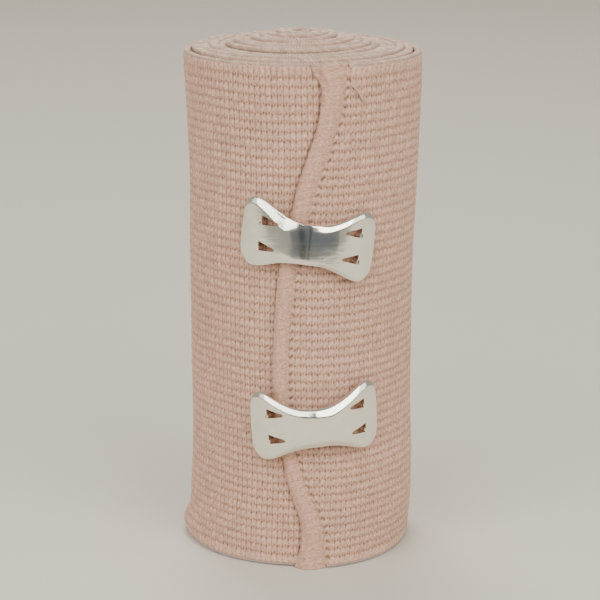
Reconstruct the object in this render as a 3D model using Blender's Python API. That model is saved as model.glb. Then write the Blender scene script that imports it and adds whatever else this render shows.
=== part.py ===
"""
Elastic bandage, rolled up and held by two clips.

One knitted band is wound into a roll that stands on its end. Its inner turns have slipped upwards a little, so
the top is a low dome and the foot is hollow under them. The free end stops at a wavy overlocked hem down the
front, and two bow-tie clips of bent aluminium sheet grip the band on both sides of it with small barbs.

Metres, +Z up. The origin is on the floor under the middle of the object, and the hem and clips face -Y.
Angles are wound in from the front of the roll towards +X, so one whole turn further in is the turn beneath.
"""

import math
from collections import namedtuple

import bmesh
import bpy
from mathutils import Vector

# The band and its roll
BAND_WIDTH = 0.100
ROLL_RADIUS = 0.0239
CORE_RADIUS = 0.0019
CLOTH_THICKNESS = 0.0013
TURN_GAP = 0.00035
TURN_PITCH = CLOTH_THICKNESS + TURN_GAP
HEM_THICKNESS = 0.0016
HEM_EDGE_SHARE = 0.8

# Room between pieces that touch
CLEARANCE = 0.0003

# The clips: a flat sheet first, then its holes and barbs
CLIP_LENGTH = 0.0267
CLIP_END_HEIGHT = 0.0134
CLIP_WAIST = 0.0076
CLIP_CORNER = 0.0025
CLIP_SHEET = 0.0005
CLIP_CROWN = 0.0010
CLIP_CROWN_AT_ENDS = 0.35
HOLE_LENGTH = 0.0034
HOLE_WIDTH = 0.0017
HOLE_SPACING = 0.0051
HOLE_BASE_DISTANCE = 0.0190
HOLE_OFFSET = 0.0003
HOLE_POINT_DROP = 0.0003
BARB_WIDTH = 0.0013
BARB_TIP_WIDTH = 0.0005
BARB_BITE = 0.0006
BARB_SETBACK = 0.0001
BARB_SPLAY = 0.25

# Rows up the band. Height, hem width and the place of the cut end, which runs round the roll to the right of
# the front, are shares of the band's width. The radius is a share of the roll's radius.
Row = namedtuple("Row", "height radius cut_end hem_width")
ROWS = (
    Row(height=0.00, radius=0.977, cut_end=0.056, hem_width=0.053),
    Row(height=0.10, radius=0.973, cut_end=0.045, hem_width=0.045),
    Row(height=0.20, radius=0.962, cut_end=0.004, hem_width=0.035),
    Row(height=0.30, radius=0.954, cut_end=-0.012, hem_width=0.032),
    Row(height=0.50, radius=0.957, cut_end=-0.012, hem_width=0.036),
    Row(height=0.75, radius=0.974, cut_end=0.028, hem_width=0.040),
    Row(height=1.00, radius=1.000, cut_end=0.089, hem_width=0.054),
)

# How far the inner turns have slipped upwards, as a share of the band's width, by turns in from the free end
Slip = namedtuple("Slip", "turns_in rise")
SLIPS = (
    Slip(turns_in=0.0, rise=0.000),
    Slip(turns_in=0.9, rise=0.000),
    Slip(turns_in=1.3, rise=0.004),
    Slip(turns_in=5.8, rise=0.014),
    Slip(turns_in=6.2, rise=0.018),
    Slip(turns_in=8.3, rise=0.023),
    Slip(turns_in=10.3, rise=0.031),
    Slip(turns_in=12.3, rise=0.036),
    Slip(turns_in=14.0, rise=0.037),
)

# The clips. Their height, their place round the roll to the right of the front, how far they bow off the hem and
# how far their middle sags below their ends are shares of the band's width.
Clip = namedtuple("Clip", "name height beside_front bow sag tilt_degrees")
CLIPS = (
    Clip(name="clip_upper", height=0.666, beside_front=0.016, bow=-0.001, sag=0.0055, tilt_degrees=-8.5),
    Clip(name="clip_lower", height=0.307, beside_front=0.030, bow=0.003, sag=0.0075, tilt_degrees=5.3),
)

# Facets
OUTER_TURNS = 7
OUTER_STEP = math.tau / 32
INNER_STEP = math.tau / 16
WAVE_FADE = math.tau / 4
HEM_COLUMNS = 4
CLIP_COLUMNS = 20
CLIP_ROWS = 6


def mixed(table, column, value, at):
    """The value of one column of a table, mixed evenly between the rows on both sides of a place."""
    places = [getattr(row, column) for row in table]
    values = [getattr(row, value) for row in table]
    if at <= places[0]:
        return values[0]
    for index in range(1, len(table)):
        if at <= places[index]:
            share = (at - places[index - 1]) / (places[index] - places[index - 1])
            return values[index - 1] + share * (values[index] - values[index - 1])
    return values[-1]


def by_height(value, height):
    """A value of the rows table at a height given in metres."""
    return mixed(ROWS, "height", value, height / BAND_WIDTH)


def turn_count():
    """Turns that the band makes between the free end and the core."""
    return (ROLL_RADIUS - CLOTH_THICKNESS - CORE_RADIUS) / TURN_PITCH


def inner_face(angle, height):
    """Radius of the band's inner face at an angle wound in from the front."""
    at_the_top = ROLL_RADIUS - CLOTH_THICKNESS - TURN_PITCH * angle / math.tau
    return at_the_top * by_height("radius", height)


def outer_face(angle, height):
    """Radius of the band's outer face at an angle wound in from the front."""
    return inner_face(angle, height) + CLOTH_THICKNESS


def rise(angle):
    """How far the band has slipped upwards at an angle wound in from the front."""
    return BAND_WIDTH * mixed(SLIPS, "turns_in", "rise", angle / math.tau)


def cut_end_angle(height):
    """Angle at which the band is cut off at its free end."""
    return by_height("cut_end", height) * BAND_WIDTH / outer_face(0.0, height)


def hem_right_angle(height):
    """Angle of the hem's right edge, clear of the cut end."""
    return cut_end_angle(height) - CLEARANCE / outer_face(0.0, height)


def hem_left_angle(height):
    """Angle of the hem's left edge, which casts its shadow on the turn beneath."""
    return hem_right_angle(height) - by_height("hem_width", height) * BAND_WIDTH / outer_face(0.0, height)


def on_roll(angle, radius, height):
    """Point at an angle, radius and height of a roll whose axis stands on the origin."""
    return Vector((radius * math.sin(angle), -radius * math.cos(angle), height))


def flat_slab(columns, rows):
    """A closed slab of unit cells, one unit thick, whose corners can then be given their real places."""
    slab = bmesh.new()
    bmesh.ops.create_grid(slab, x_segments=columns, y_segments=rows, size=0.5)
    bmesh.ops.translate(slab, vec=(0.5, 0.5, 0.0), verts=slab.verts[:])
    bmesh.ops.scale(slab, vec=(columns, rows, 1.0), verts=slab.verts[:])
    raised = bmesh.ops.extrude_face_region(slab, geom=slab.faces[:], use_keep_orig=True)
    raised_verts = [item for item in raised["geom"] if isinstance(item, bmesh.types.BMVert)]
    bmesh.ops.translate(slab, vec=(0.0, 0.0, 1.0), verts=raised_verts)
    bmesh.ops.recalc_face_normals(slab, faces=slab.faces[:])
    return slab


def give_places(slab, place):
    """Moves each corner of a slab to the point that its column, row and depth stand for."""
    for vert in slab.verts:
        column, row, depth = vert.co
        vert.co = place(column, row, depth)


def fabric_material():
    """Pinkish beige knitted cotton and elastic."""
    return plain_material("knitted_cotton", (0.52, 0.35, 0.27, 1.0), roughness=0.95, metallic=0.0)


def thread_material():
    """The same shade, in the finer overlock thread of the hem."""
    return plain_material("overlock_thread", (0.56, 0.38, 0.30, 1.0), roughness=0.85, metallic=0.0)


def metal_material():
    """Bare satin aluminium."""
    return plain_material("satin_aluminium", (0.80, 0.80, 0.78, 1.0), roughness=0.28, metallic=1.0)


def plain_material(name, color, roughness, metallic):
    """A Principled material with one colour."""
    material = bpy.data.materials.new(name)
    material.use_nodes = True
    shader = material.node_tree.nodes["Principled BSDF"]
    shader.inputs["Base Color"].default_value = color
    shader.inputs["Roughness"].default_value = roughness
    shader.inputs["Metallic"].default_value = metallic
    material.diffuse_color = color
    return material


def new_object(name, shape, collection, material=None):
    """Turns a bmesh into an object of a collection."""
    mesh = bpy.data.meshes.new(name)
    shape.to_mesh(mesh)
    shape.free()
    if material is not None:
        mesh.materials.append(material)
    piece = bpy.data.objects.new(name, mesh)
    collection.objects.link(piece)
    return piece


def smooth(piece, sharp_angle):
    """Smooth shading, apart from edges sharper than an angle in degrees."""
    piece.data.shade_smooth()
    piece.data.set_sharp_from_angle(angle=math.radians(sharp_angle))


def band_angles():
    """Angles of the sections along the band, closer together on the outer turns."""
    last = math.tau * turn_count()
    angles = [0.0]
    while angles[-1] < last:
        step = OUTER_STEP if len(angles) * OUTER_STEP <= OUTER_TURNS * math.tau else INNER_STEP
        angles.append(min(angles[-1] + step, last))
    return angles


def make_roll(collection, material):
    """The band, modelled as a flat strip and wound up from its free end to its core."""
    angles = band_angles()

    def wound(column, row, depth):
        height = ROWS[round(row)].height * BAND_WIDTH
        angle = angles[round(column)]
        if angle < WAVE_FADE:
            wave = cut_end_angle(height)
            angle = wave + angle * (WAVE_FADE - wave) / WAVE_FADE
        radius = inner_face(angle, height) + depth * CLOTH_THICKNESS
        return on_roll(angle, radius, height + rise(angle))

    strip = flat_slab(len(angles) - 1, len(ROWS) - 1)
    give_places(strip, wound)
    roll = new_object("bandage_roll", strip, collection, material)
    smooth(roll, sharp_angle=50)
    return roll


def make_hem(collection, material):
    """The overlocked strip along the cut end, thickest down its middle."""

    def wound(column, row, depth):
        height = ROWS[round(row)].height * BAND_WIDTH
        across = column / HEM_COLUMNS
        left = hem_left_angle(height)
        angle = left + across * (hem_right_angle(height) - left)
        crown = HEM_EDGE_SHARE + (1.0 - HEM_EDGE_SHARE) * math.sin(math.pi * across)
        radius = inner_face(angle, height) + depth * HEM_THICKNESS * crown
        return on_roll(angle, radius, height)

    strip = flat_slab(HEM_COLUMNS, len(ROWS) - 1)
    give_places(strip, wound)
    hem = new_object("end_hem", strip, collection, material)
    smooth(hem, sharp_angle=50)
    return hem


def clip_half_height(along):
    """Half the height of a clip at a distance from its middle: a waist, a wide end and a round corner."""
    shoulder = CLIP_LENGTH / 2 - CLIP_CORNER
    distance = min(abs(along), CLIP_LENGTH / 2)
    if distance > shoulder:
        arc = math.sqrt(max(CLIP_CORNER ** 2 - (distance - shoulder) ** 2, 0.0))
        return CLIP_END_HEIGHT / 2 - CLIP_CORNER + arc
    share = (distance / shoulder) ** 1.35
    widening = 3 * share ** 2 - 2 * share ** 3
    return CLIP_WAIST / 2 + widening * (CLIP_END_HEIGHT - CLIP_WAIST) / 2


def clip_arc(clip):
    """
    Centre, radius and middle angle, in plan, of the arc that a clip's underside follows.

    The arc rests on the turn beneath the free end at the clip's left end and on the outermost turn at its right
    end, and it bows over the hem's left edge between them. The highest resting place up and down is used.
    """
    middle = clip.height * BAND_WIDTH
    heights = [middle + side * CLIP_END_HEIGHT / 2 for side in (-1.0, 0.0, 1.0)]
    beside = clip.beside_front * BAND_WIDTH / outer_face(0.0, middle)
    reach = (CLIP_LENGTH / 2 + CLEARANCE) / outer_face(0.0, middle)
    left = beside - reach
    right = beside + reach
    edge = min(hem_left_angle(height) for height in heights)
    left_radius = max(outer_face(left + math.tau, height) for height in heights)
    edge_radius = max(inner_face(edge, height) + HEM_THICKNESS for height in heights) + clip.bow * BAND_WIDTH
    right_radius = max(outer_face(right, height) for height in heights)
    first = on_roll(left, left_radius + CLEARANCE, 0.0)
    second = on_roll(edge, edge_radius + CLEARANCE, 0.0)
    third = on_roll(right, right_radius + CLEARANCE, 0.0)
    centre = circle_centre(first, second, third)
    radius = (second - centre).length
    ahead = on_roll(beside, 1.0, 0.0)
    reach_out = ahead.dot(centre) + math.sqrt(ahead.dot(centre) ** 2 - centre.length_squared + radius ** 2)
    towards = ahead * reach_out - centre
    return centre, radius, math.atan2(towards.x, -towards.y)


def circle_centre(first, second, third):
    """Centre of the circle through three points of the plan."""
    one = second - first
    two = third - first
    area = 2.0 * (one.x * two.y - one.y * two.x)
    x = (two.y * one.length_squared - one.y * two.length_squared) / area
    y = (one.x * two.length_squared - two.x * one.length_squared) / area
    return first + Vector((x, y, 0.0))


def clip_bend(clip):
    """A function that takes a point of the flat clip to its place on the roll."""
    centre, radius, middle_angle = clip_arc(clip)
    tilt = math.radians(clip.tilt_degrees)

    def bent(along, up, depth):
        rim = min(abs(up) / clip_half_height(along), 1.0)
        endward = (2 * along / CLIP_LENGTH) ** 2
        crown = CLIP_CROWN * (1.0 - (1.0 - CLIP_CROWN_AT_ENDS) * endward) * (1.0 - rim ** 3)
        sag = clip.sag * BAND_WIDTH * (1.0 - endward)
        beside = along * math.cos(tilt) - up * math.sin(tilt)
        height = clip.height * BAND_WIDTH + along * math.sin(tilt) + up * math.cos(tilt) - sag
        point = on_roll(middle_angle + beside / radius, radius + crown + depth, height)
        return point + centre

    return bent


def hole_base(side):
    """Place along a clip of the wide base of the holes on one side."""
    return HOLE_OFFSET + side * HOLE_BASE_DISTANCE / 2


def barb_drop(bent, along, up):
    """Distance from a bent clip's underside, at the head of a barb, to the barb's tip inside the cloth."""
    head = bent(along, up, 0.0)
    angle = math.atan2(head.x, -head.y)
    if along < 0.0:
        angle += math.tau
    return math.hypot(head.x, head.y) - outer_face(angle, head.z) + BARB_BITE


def barb_box(bent, side, row, margin):
    """A tapered barb that leans outwards under the wide base of a hole on the flat clip, with a margin all round."""
    along = hole_base(side) + side * (BARB_SETBACK + CLIP_SHEET / 2)
    up = row * HOLE_SPACING / 2
    tip = -barb_drop(bent, along, up) - margin
    head = CLIP_SHEET / 2
    barb = bmesh.new()
    bmesh.ops.create_cube(barb, size=1.0)
    for vert in barb.verts:
        width = BARB_WIDTH if vert.co.z > 0.0 else BARB_TIP_WIDTH
        splay = 0.0 if vert.co.z > 0.0 else side * BARB_SPLAY * (head - tip)
        vert.co.x = along + splay + vert.co.x * (CLIP_SHEET + 2 * margin)
        vert.co.y = up + vert.co.y * (width + 2 * margin)
        vert.co.z = head if vert.co.z > 0.0 else tip
    return barb


def hole_prism(side, row):
    """A three-sided prism through the flat clip, its base outermost and its point towards the waist."""
    base = hole_base(side)
    point = base - side * HOLE_LENGTH
    up = row * HOLE_SPACING / 2
    corners = ((base, up - HOLE_WIDTH / 2), (base, up + HOLE_WIDTH / 2), (point, up - HOLE_POINT_DROP))
    prism = bmesh.new()
    face = prism.faces.new([prism.verts.new((x, y, -CLIP_SHEET)) for x, y in corners])
    raised = bmesh.ops.extrude_face_region(prism, geom=[face], use_keep_orig=True)
    raised_verts = [item for item in raised["geom"] if isinstance(item, bmesh.types.BMVert)]
    bmesh.ops.translate(prism, vec=(0.0, 0.0, 3 * CLIP_SHEET), verts=raised_verts)
    bmesh.ops.recalc_face_normals(prism, faces=prism.faces[:])
    return prism


def joined(shapes):
    """Several separate bmeshes as one."""
    whole = bmesh.new()
    for shape in shapes:
        mesh = bpy.data.meshes.new("joined")
        shape.to_mesh(mesh)
        shape.free()
        whole.from_mesh(mesh)
        bpy.data.meshes.remove(mesh)
    return whole


def add_boolean(piece, cutter, operation):
    """A Boolean modifier on a piece."""
    modifier = piece.modifiers.new(operation.lower(), "BOOLEAN")
    modifier.operation = operation
    modifier.solver = "EXACT"
    modifier.object = cutter


def four_places():
    """The side and row of each of a clip's four holes and barbs."""
    return [(side, row) for side in (-1.0, 1.0) for row in (-1.0, 1.0)]


def make_clip(clip, collection, cutters, material):
    """A clip: a flat bow-tie sheet, its holes cut and its barbs joined on, bent over the hem."""
    bent = clip_bend(clip)

    def flat(column, row, depth):
        along = CLIP_LENGTH / 2 * math.sin(math.pi / 2 * (2 * column / CLIP_COLUMNS - 1))
        up = clip_half_height(along) * math.sin(math.pi / 2 * (2 * row / CLIP_ROWS - 1))
        return Vector((along, up, depth * CLIP_SHEET))

    sheet = flat_slab(CLIP_COLUMNS, CLIP_ROWS)
    give_places(sheet, flat)
    flat_clip = new_object(clip.name + "_flat", sheet, cutters)
    holes = new_object(clip.name + "_holes", joined(hole_prism(*place) for place in four_places()), cutters)
    barbs = joined(barb_box(bent, side, row, margin=0.0) for side, row in four_places())
    barbs = new_object(clip.name + "_barbs", barbs, cutters)
    add_boolean(flat_clip, holes, "DIFFERENCE")
    add_boolean(flat_clip, barbs, "UNION")
    finished = bpy.data.meshes.new_from_object(flat_clip.evaluated_get(bpy.context.evaluated_depsgraph_get()))
    shape = bmesh.new()
    shape.from_mesh(finished)
    bmesh.ops.triangulate(shape, faces=shape.faces[:])
    for vert in shape.verts:
        vert.co = bent(*vert.co)
    for scaffold in (flat_clip, holes, barbs):
        bpy.data.objects.remove(scaffold)
    piece = new_object(clip.name, shape, collection, material)
    smooth(piece, sharp_angle=40)
    return piece


def cut_pockets(roll, cutters):
    """Small pockets in the roll, in which the clips' barbs stand clear of the cloth."""
    pockets = []
    for clip in CLIPS:
        bent = clip_bend(clip)
        for side, row in four_places():
            pocket = barb_box(bent, side, row, margin=CLEARANCE)
            for vert in pocket.verts:
                vert.co = bent(*vert.co)
            pockets.append(pocket)
    cutter = new_object("barb_pockets", joined(pockets), cutters)
    cutter.hide_render = True
    cutter.display_type = "WIRE"
    add_boolean(roll, cutter, "DIFFERENCE")
    return cutter


def middle_of_box(pieces):
    """Middle, in plan, of the box round all pieces."""
    points = [vert.co for piece in pieces for vert in piece.data.vertices]
    across = [point.x for point in points]
    deep = [point.y for point in points]
    return Vector(((min(across) + max(across)) / 2, (min(deep) + max(deep)) / 2, 0.0))


def main():
    for old in list(bpy.data.objects):
        bpy.data.objects.remove(old)
    bandage = bpy.data.collections.new("elastic_bandage")
    cutters = bpy.data.collections.new("cutters")
    bpy.context.scene.collection.children.link(bandage)
    bpy.context.scene.collection.children.link(cutters)
    roll = make_roll(bandage, fabric_material())
    hem = make_hem(bandage, thread_material())
    metal = metal_material()
    clips = [make_clip(clip, bandage, cutters, metal) for clip in CLIPS]
    pieces = [roll, hem] + clips
    pockets = cut_pockets(roll, cutters)
    middle = middle_of_box(pieces)
    for piece in pieces + [pockets]:
        piece.location = -middle


main()
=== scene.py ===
"""
Looks of the elastic bandage: the knitted band wound into its roll, the overlocked hem, two bow-tie clips.

Metres, radians unless a name says degrees, +Z up, the front towards -Y. Angles are wound in from the front
towards +X, so the turn beneath the free end is one whole turn further in. "Along" is the distance along the
band from the front of the roll, or along a clip from its middle.
"""
import math
from collections import namedtuple

import bmesh
import bpy
import numpy as np
from mathutils import Matrix, Vector


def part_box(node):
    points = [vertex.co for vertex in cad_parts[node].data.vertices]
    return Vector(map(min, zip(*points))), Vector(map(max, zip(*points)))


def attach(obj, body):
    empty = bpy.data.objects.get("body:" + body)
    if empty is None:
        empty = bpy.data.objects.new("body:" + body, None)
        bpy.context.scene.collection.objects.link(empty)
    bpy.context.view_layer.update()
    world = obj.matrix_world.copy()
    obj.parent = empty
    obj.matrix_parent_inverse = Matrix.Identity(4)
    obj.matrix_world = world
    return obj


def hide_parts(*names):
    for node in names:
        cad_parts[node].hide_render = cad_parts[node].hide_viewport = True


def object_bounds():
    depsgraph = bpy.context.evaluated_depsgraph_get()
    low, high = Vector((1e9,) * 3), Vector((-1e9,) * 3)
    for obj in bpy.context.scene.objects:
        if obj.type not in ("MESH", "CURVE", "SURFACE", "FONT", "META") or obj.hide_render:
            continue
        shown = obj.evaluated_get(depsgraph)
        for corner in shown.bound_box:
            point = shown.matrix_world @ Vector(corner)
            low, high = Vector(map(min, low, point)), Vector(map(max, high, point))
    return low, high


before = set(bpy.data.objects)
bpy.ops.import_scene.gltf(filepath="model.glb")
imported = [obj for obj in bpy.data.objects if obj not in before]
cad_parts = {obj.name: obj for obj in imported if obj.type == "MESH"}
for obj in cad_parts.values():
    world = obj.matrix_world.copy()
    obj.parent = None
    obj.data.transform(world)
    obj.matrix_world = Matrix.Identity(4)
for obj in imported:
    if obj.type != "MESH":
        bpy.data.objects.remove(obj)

cad_low, cad_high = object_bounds()
roll_low, roll_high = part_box("bandage_roll")
foot_low, foot_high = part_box("end_hem")

# The band and its roll
BAND_WIDTH = foot_high.z - foot_low.z
ROLL_RADIUS = 0.0239
CORE_RADIUS = 0.0005
CLOTH_THICKNESS = 0.0013
TURN_PITCH = 0.00165
TURNS = (ROLL_RADIUS - CLOTH_THICKNESS - CORE_RADIUS) / TURN_PITCH

# Rows up the roll: height as a share of the band's width, radius as a share of the roll's radius
SHAPE_HEIGHTS = (0.00, 0.06, 0.10, 0.15, 0.20, 0.27, 0.40, 0.50, 0.57, 0.65, 0.73, 0.80, 0.85,
                 0.90, 0.94, 1.00)
SHAPE_RADII = (0.977, 0.974, 0.973, 0.967, 0.962, 0.953, 0.956, 0.957, 0.960, 0.967, 0.972, 0.980, 0.985,
               0.992, 0.998, 1.000)

# How far the roll stands to the right of a straight axis, at heights that are shares of the band's width
SWAY_HEIGHTS = (0.00, 0.09, 0.19, 0.29, 0.37, 0.50, 0.62, 0.70, 0.82, 0.91, 1.00)
SWAYS = (0.0, 0.00014, 0.00032, 0.00004, -0.00012, -0.00020, -0.00012, 0.00018, 0.00032, 0.00022, 0.0)

# How far the inner turns have slipped upwards, as a share of the band's width, by turns in from the free end,
# and a small wave in it: its size, radians of it to a radian round the roll, its start, and where it sets in
SLIP_TURNS = (0.0, 0.9, 1.3, 3.0, 5.8, 6.2, 7.3, 8.3, 9.3, 10.3, 11.3, 12.3, 14.0)
SLIP_RISES = (0.000, 0.000, 0.004, 0.008, 0.014, 0.018, 0.020, 0.023, 0.027, 0.031, 0.034, 0.036, 0.036)
SLIP_WAVE = (0.00016, 1.37, 0.8)
SLIP_WAVE_BEGINS = (1.0, 2.0)

# The soft roll's shallow hollows and swellings, the bulge and the dip at its foot, and the two places where
# its outermost turn stands off the next one near the top
Wave = namedtuple("Wave", "size round_roll up_roll start")
Bulge = namedtuple("Bulge", "size angle angle_reach height height_reach")
Gap = namedtuple("Gap", "size angle angle_reach")
ROLL_WAVES = (
    Wave(size=0.00010, round_roll=3, up_roll=55, start=0.0),
    Wave(size=0.00007, round_roll=7, up_roll=-90, start=1.0),
)
FOOT_BULGES = (
    Bulge(size=0.00140, angle=4.7, angle_reach=0.5, height=0.0027, height_reach=0.0021),
    Bulge(size=-0.00080, angle=1.15, angle_reach=0.5, height=0.0, height_reach=0.006),
)
RIM_GAPS = (
    Gap(size=0.00045, angle=1.9, angle_reach=0.55),
    Gap(size=0.00030, angle=4.3, angle_reach=0.45),
)
RIM_GAPS_FROM = 0.75

# The knit. Its stitches are a little narrower than usual at the free end and a little wider one turn in.
STITCH = 0.00114
STITCH_GROWTH = 0.035
SELVEDGE = 0.0026
EDGE_ROOM = 0.0006
RIDGES = 57
RIDGE = (BAND_WIDTH - 2 * SELVEDGE) / RIDGES
COLUMNS_A_STITCH = 6
ROWS_A_RIDGE = 5
ROWS_INSIDE = 30

# How the knit's rows lie. In ridges: how far the middle one is below its even place, the zigzag from stitch
# to stitch and the random shiver. In metres: two waves along the band, each with its size, length and start.
ROW_LOWERING = 0.5
ROW_ZIGZAG = 0.09
ROW_SHIVER = 0.06
ROW_WAVES = ((0.00022, 0.011, 0.4), (0.00012, 0.0042, 0.0))

# The knit's relief: its whole height, then the levels and depths of its forms as shares of that height. Pits
# differ in depth by a random factor. Powers above 1 make a form slender, and below 1 blunt.
RELIEF = 0.00052
FACE_LEVEL = 0.62
INNER_TURNS_LEVEL = 0.6
STITCH_TOPS = (0.82, 1.0)
PIT_DEPTH = 0.80
PIT_FACTORS = (0.55, 1.15)
PIT_POWER = 1.3
PIT_WALL_POWER = 1.2
HALF_WAY_PIT_LOSS = 0.20
GROOVE_DEPTH = 0.24
GROOVE_POWER = 0.5
LINE_DEPTH = 0.32
LINE_DEPTH_AT_FOOT = 0.22
LINE_DEPTH_AT_TOP = 0.42
LINE_POWER = 0.5
LINE_CREST_POWER = 0.65

# How wide the groove along a selvedge is, as a share of the selvedge
SELVEDGE_GROOVE = 0.3

# How much the stitches lean over, in stitches a ridge, and the angles between which they straighten up
STITCH_SLANT = 0.55
SLANT_FADES = (2.6, 5.2)

# Seeds of the random numbers, and how many there are before they repeat
ROW_SEED = 7
RELIEF_SEED = 11
LOOP_SEED = 5
FUZZ_SEED = 8
HEM_SEED = 3
RANDOM_STITCHES = 256
RANDOM_LOOPS = 4096
RANDOM_THREADS = 400

# The part of the band that shows from outside: the outermost turn and its way under the free end
PANELS = ("knit_right", "knit_back", "knit_left")
PANEL_STITCHES = 46
PANEL_RADIUS = ROLL_RADIUS - TURN_PITCH / 2

# The turns inside: a few rows of corners near the foot, then even ones between two shares of the band's width
INNER_COLUMNS_A_TURN = 56
INNER_FOOT_ROWS = 3
INNER_FOOT_END = 0.1
INNER_ROWS = 6
INNER_ROWS_REACH = (0.2, 0.9)

# The free end under the hem: how far it reaches in, how much thinner it gets, and where that begins and ends
UNDER_HEM = 0.0012
TUCK = 0.6
TUCK_REACH = (-0.0010, 0.0001)

# Beside the hem: a row of small pits on its right, darkened as painted shade, and a dark line on its left, a
# shallow crease darkened as the painted shadow of the hem's edge, which fades at both its ends
SEAM_PIT_DEPTH = 0.78
SEAM_PIT_PLACE = 0.0002
SEAM_PIT_REACH = 0.00028
SEAM_LINE_DEPTH = 0.15
SEAM_LINE_GROOVES = 0.30
SEAM_LINE_REACH = 0.00022
SEAM_LINE_BEGINS = (0.022, 0.034)
SEAM_LINE_ENDS = (0.955, 0.967)
SEAM_GROOVE_POWER = 4

# The loops that bind the band's two long edges
LOOP_WIDTH = STITCH / 2
LOOP_SLANT = 0.9
LOOP_SIZES = (0.5, 1.0)
LOOP_HALF_HEIGHT = 0.00052
LOOP_OVERLAP = 0.00008
LOOP_OVERLAP_OUTSIDE = 0.00002
LOOP_LOW = 0.74
LOOP_RAISED = 0.30
LOOP_FUZZ = 0.00005
LOOP_SIDE_POWER = 0.5
LOOP_TOP_POWER = 0.45
LOOP_CORNERS = 12
LOOP_SPACING = 0.00016
LOOP_SPACING_INSIDE_FOOT = 0.0006
LOOPS_FINE_TO = 1.05 * math.tau
LOOPS_OUTSIDE_TO = math.tau + 0.3

# Rows up the hem: height, left edge and right edge beside the front, all as shares of the band's width
HEM_HEIGHTS = (0.00, 0.03, 0.05, 0.10, 0.16, 0.21, 0.25, 0.40, 0.47, 0.55, 0.62, 0.72, 0.78, 0.83, 0.88, 0.93,
               0.965, 0.98, 1.00)
HEM_LEFT = (-0.008, 0.000, 0.004, 0.000, -0.022, -0.033, -0.040, -0.053, -0.050, -0.045, -0.0375, -0.018,
            -0.004, 0.013, 0.030, 0.038, 0.036, 0.026, 0.020)
HEM_RIGHT = (0.056, 0.055, 0.054, 0.045, 0.018, 0.001, -0.009, -0.0165, -0.0145, -0.0085, 0.000, 0.021, 0.037,
             0.055, 0.070, 0.083, 0.088, 0.090, 0.092)

# The hem's own shape: its threads and lumps, its thin seam on the right and its soft free edge on the left.
# Across the hem, 0 is its left edge and 1 its right edge. Its ends and slopes are at shares of its height.
HEM_THICKNESS = 0.0016
HEM_CORNERS = 26
HEM_ROWS_A_THREAD = 5
HEM_SIDE_POWER = 0.8
HEM_FACE_POWER = 0.45
HEM_THREAD = 0.00046
HEM_THREAD_LIFTS = (0.1, 1.0)
HEM_THREAD_POWER = 0.8
HEM_THREAD_RAISED = 0.00012
HEM_THREAD_WAVE = 0.0005
HEM_THREAD_SLOPE = 0.10
HEM_THREAD_SLOPE_AT_FOOT = 0.55
HEM_SLOPE_FADES = (0.22, 0.42)
HEM_THREAD_WAVE_ACROSS = 2.6
HEM_THREAD_WAVE_UP = 210
HEM_LUMP = 0.00007
HEM_LUMP_WAVES_UP = (2400, 1500)
HEM_LUMP_WAVES_ACROSS = (5, -9)
HEM_SEAM = (0.62, 1.0)
HEM_SEAM_THINNER = 0.00050
HEM_SEAM_LIFTED = 0.0002
HEM_FREE = (0.0, 0.30)
HEM_FREE_THINNER = 0.00045
HEM_FREE_LOWERED = 0.00025
HEM_FREE_AT_ENDS = 1.8
HEM_BEGINS = (0.015, 0.04)
HEM_ENDS = (0.95, 0.975)

# The hem's tone, between 0, the colour of pits, and 1, the colour of the backs of stitches: painted light on
# its raised threads, painted light and shade on its lumps, and painted shade along its free edge, most in the
# grooves. Then how many fibre patterns lie across it
HEM_SHADE = 0.66
HEM_THREAD_HIGHLIGHT = 0.12
HEM_LUMP_LIGHT_AND_SHADE = 0.08
HEM_EDGE_SHADE = 0.10
HEM_EDGE_GROOVE_SHADE = 0.20
HEM_EDGE = (0.0, 0.08)
HEM_PATTERNS = 4

# The stray threads, beside the top of the hem and on the rim over it: place beside the front, height, and
# height off the cloth. Each is made of a few strands that sway a little past each other.
STRAY_THREADS = (
    ((0.0095, 0.0961, 0.0001), (0.0103, 0.0951, 0.0003), (0.0110, 0.0942, 0.0004),
     (0.0115, 0.0934, 0.0003), (0.0119, 0.0927, 0.0000)),
    ((0.0044, 0.1001, -0.0006), (0.0050, 0.1003, -0.0003), (0.0057, 0.1001, -0.0001),
     (0.0065, 0.0998, -0.0001)),
)
THREAD_RADIUS = 0.00009
THREAD_LIFT = 0.0002
STRANDS = 4
STRAND_SPACING = 0.00009
STRAND_STAGGER = 0.4
STRAND_SWAY = 0.00012
STRAND_SWAY_TURN = 1.7
STRAND_TURN = 0.9

# The clips' flat sheet, its holes and its barbs
CLIP_LENGTH = 0.0267
CLIP_END_HEIGHT = 0.0134
CLIP_WAIST = 0.0076
CLIP_CORNER = 0.0025
CLIP_WAIST_POWER = 1.35
CLIP_SHEET = 0.00034
CLIP_COLUMNS = 100
CLIP_ROWS = 52
CLIP_SHARP_DEGREES = 45
HOLE_LENGTH = 0.0034
HOLE_WIDTH = 0.0019
HOLE_SPACING = 0.0051
HOLE_BASE_DISTANCE = 0.0190
HOLE_OFFSET = 0.0003
HOLE_RAISE = 0.0003
HOLE_POINT = 0.0003
BARB_LENGTH = 0.0022
BARB_WIDTH = 0.0008
BARB_TAPER = 0.6
BARB_FOLD = 0.00012
BARB_INTO_BASE = 0.00030
BARB_BEND_INSIDE = 0.00005

# How the clips are bent. Their middle stands off the cloth, and their long edges slope down to it past a soft
# fold, by the widths and slopes that each clip has at places from its left end to its right end.
CLEARANCE = 0.0003
CLIP_RAISED = 0.0012
RAISED_PLACES = (0.0, 0.007, 0.0134)
RAISED_SHARES = (1.0, 0.75, 0.35)
CLIP_CROWN = 0.00012
ROLL_PLACES = (-0.0134, -0.0080, -0.0046, -0.0028, 0.0006, 0.0030, 0.0134)
LOWER_ROLL_SHARE = 0.75
FOLD_SOFTNESS = 0.0064
FOLD_START = 0.08
RIM_TURN = 0.2
RIM_TURN_POWER = 8

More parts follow.
